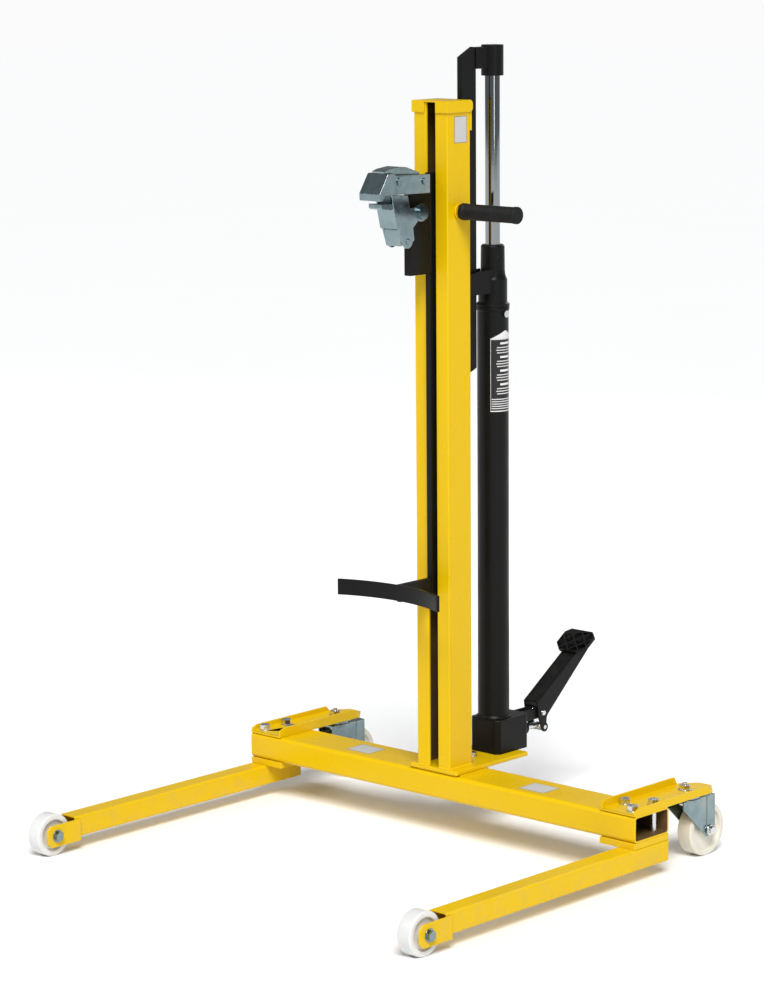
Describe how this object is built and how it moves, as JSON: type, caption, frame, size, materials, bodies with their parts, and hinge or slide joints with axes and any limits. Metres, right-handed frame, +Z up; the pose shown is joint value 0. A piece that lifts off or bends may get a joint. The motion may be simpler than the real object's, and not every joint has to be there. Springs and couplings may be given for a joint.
{
  "type": "hydraulic drum lifter",
  "caption": "Straddle-frame drum lifter: channel mast, foot-pumped ram jack, sliding carriage with rim clamp and curved drum cradle, nylon wheels",
  "frame": {"origin": "on the floor, under the middle of the whole machine's bounding box", "axes": "+Z up, the straddle legs reach towards -Y, the foot pump is at +Y, the handle is on the +X side"},
  "size_m": [0.998, 1.0566, 1.492],
  "materials": {
    "yellow_paint": "gloss powder coat",
    "black_paint": "gloss paint",
    "zinc_plate": "zinc plated, satin",
    "bright_steel": "hard chrome or bright zinc",
    "white_nylon": "moulded, satin",
    "black_rubber": "matte",
    "bronze": "machined"
  },
  "bodies": {
    "frame": {"cross_beam": "yellow_paint", "left_leg_tube": "yellow_paint", "right_leg_tube": "yellow_paint", "leg_plates": "yellow_paint", "wheel_fork_cheeks": "yellow_paint", "left_caster_plate": "yellow_paint", "right_caster_plate": "yellow_paint", "base_plate": "yellow_paint", "left_column": "yellow_paint", "right_column": "yellow_paint", "mast_cap": "yellow_paint", "mast_tie": "yellow_paint", "handle_bar": "yellow_paint", "handle_grip": "black_rubber", "leg_bolts": "bright_steel", "base_bolt": "bright_steel", "jack_block": "black_paint", "jack_tube": "black_paint", "jack_gland": "black_paint", "rod_guide": "bronze", "jack_stay": "black_paint", "bleed_screw": "bright_steel", "pump_cylinder": "black_paint", "pedal_pin": "bright_steel", "pedal_spring": "zinc_plate", "front_axles": "zinc_plate", "caster_heads": "zinc_plate", "caster_king_bolts": "bright_steel"},
    "carriage": {"carriage_bar": "black_paint", "lift_arm": "black_paint", "ram_head": "black_paint", "ram_rod": "bright_steel", "ram_piston": "zinc_plate", "piston_seals": "black_rubber", "clamp_bracket": "black_paint", "drum_cradle": "black_paint", "cradle_arm": "black_paint", "roller_axles": "zinc_plate", "clamp_pins": "zinc_plate"},
    "upper_left_roller": {"upper_left_roller": "white_nylon"},
    "upper_right_roller": {"upper_right_roller": "white_nylon"},
    "lower_left_roller": {"lower_left_roller": "white_nylon"},
    "lower_right_roller": {"lower_right_roller": "white_nylon"},
    "beak": {"clamp_beak": "zinc_plate", "beak_rivet": "zinc_plate"},
    "jaw": {"clamp_jaw": "zinc_plate", "jaw_spring": "zinc_plate"},
    "pedal": {"pedal_lever": "black_paint", "pedal_pad": "black_paint", "pump_roller": "bright_steel"},
    "plunger": {"pump_plunger": "bright_steel"},
    "release": {"release_valve": "black_paint"},
    "left_front_wheel": {"left_front_wheel": "white_nylon"},
    "right_front_wheel": {"right_front_wheel": "white_nylon"},
    "left_swivel": {"left_caster_fork": "zinc_plate", "left_caster_axle": "bright_steel"},
    "right_swivel": {"right_caster_fork": "zinc_plate", "right_caster_axle": "bright_steel"},
    "left_caster_wheel": {"left_caster_wheel": "white_nylon"},
    "right_caster_wheel": {"right_caster_wheel": "white_nylon"}
  },
  "joints": [
    {"name": "lift", "type": "slide", "parent": "frame", "child": "carriage", "axis": [0, 0, 1], "range_m": [-0.31, 0.07]},
    {"name": "upper_left_roller_turn", "type": "hinge", "parent": "carriage", "child": "upper_left_roller", "pos_m": [-0.026, 0.10366, 1.228], "axis": [1, 0, 0], "range_deg": [-700, 180]},
    {"name": "lower_left_roller_turn", "type": "hinge", "parent": "carriage", "child": "lower_left_roller", "pos_m": [-0.026, 0.10366, 0.5], "axis": [1, 0, 0], "range_deg": [-700, 180]},
    {"name": "upper_right_roller_turn", "type": "hinge", "parent": "carriage", "child": "upper_right_roller", "pos_m": [0.026, 0.10366, 1.228], "axis": [1, 0, 0], "range_deg": [-700, 180]},
    {"name": "lower_right_roller_turn", "type": "hinge", "parent": "carriage", "child": "lower_right_roller", "pos_m": [0.026, 0.10366, 0.5], "axis": [1, 0, 0], "range_deg": [-700, 180]},
    {"name": "beak_pivot", "type": "hinge", "parent": "carriage", "child": "beak", "pos_m": [0, 0.02566, 1.2527], "axis": [-1, 0, 0], "range_deg": [0, 35]},
    {"name": "jaw_pivot", "type": "hinge", "parent": "carriage", "child": "jaw", "pos_m": [0, 0.02326, 1.195], "axis": [1, 0, 0], "range_deg": [0, 12], "stiffness_Nm_per_rad": 6, "springref_deg": -14.32},
    {"name": "pedal_pivot", "type": "hinge", "parent": "frame", "child": "pedal", "pos_m": [0, 0.37366, 0.192], "axis": [-1, 0, 0], "range_deg": [0, 40], "stiffness_Nm_per_rad": 6, "springref_deg": -28.65},
    {"name": "pump_stroke", "type": "slide", "parent": "frame", "child": "plunger", "axis": [0, -1, 0], "range_m": [0, 0.0215]},
    {"name": "release_turn", "type": "hinge", "parent": "frame", "child": "release", "pos_m": [-0.03, 0.29166, 0.172], "axis": [1, 0, 0], "range_deg": [0, 60]},
    {"name": "left_front_wheel_turn", "type": "hinge", "parent": "frame", "child": "left_front_wheel", "pos_m": [-0.467, -0.48834, 0.04], "axis": [1, 0, 0], "continuous": true},
    {"name": "right_front_wheel_turn", "type": "hinge", "parent": "frame", "child": "right_front_wheel", "pos_m": [0.467, -0.48834, 0.04], "axis": [1, 0, 0], "continuous": true},
    {"name": "left_caster_swivel", "type": "hinge", "parent": "frame", "child": "left_swivel", "pos_m": [-0.446, 0.27066, 0.112], "axis": [0, 0, 1], "continuous": true},
    {"name": "left_caster_wheel_turn", "type": "hinge", "parent": "left_swivel", "child": "left_caster_wheel", "pos_m": [-0.44518, 0.31766, 0.05], "axis": [0.9998, -0.0175, 0], "continuous": true},
    {"name": "right_caster_swivel", "type": "hinge", "parent": "frame", "child": "right_swivel", "pos_m": [0.446, 0.27066, 0.112], "axis": [0, 0, 1], "continuous": true},
    {"name": "right_caster_wheel_turn", "type": "hinge", "parent": "right_swivel", "child": "right_caster_wheel", "pos_m": [0.44682, 0.31766, 0.05], "axis": [0.9998, -0.0175, 0], "continuous": true}
  ],
  "couplings": [
    {"joint": "upper_left_roller_turn", "follows": "lift", "rad_per_m": 37.594},
    {"joint": "lower_left_roller_turn", "follows": "lift", "rad_per_m": 37.594},
    {"joint": "upper_right_roller_turn", "follows": "lift", "rad_per_m": 37.594},
    {"joint": "lower_right_roller_turn", "follows": "lift", "rad_per_m": 37.594},
    {"joint": "pump_stroke", "follows": "pedal_pivot", "m_per_rad": 0.0294}
  ]
}
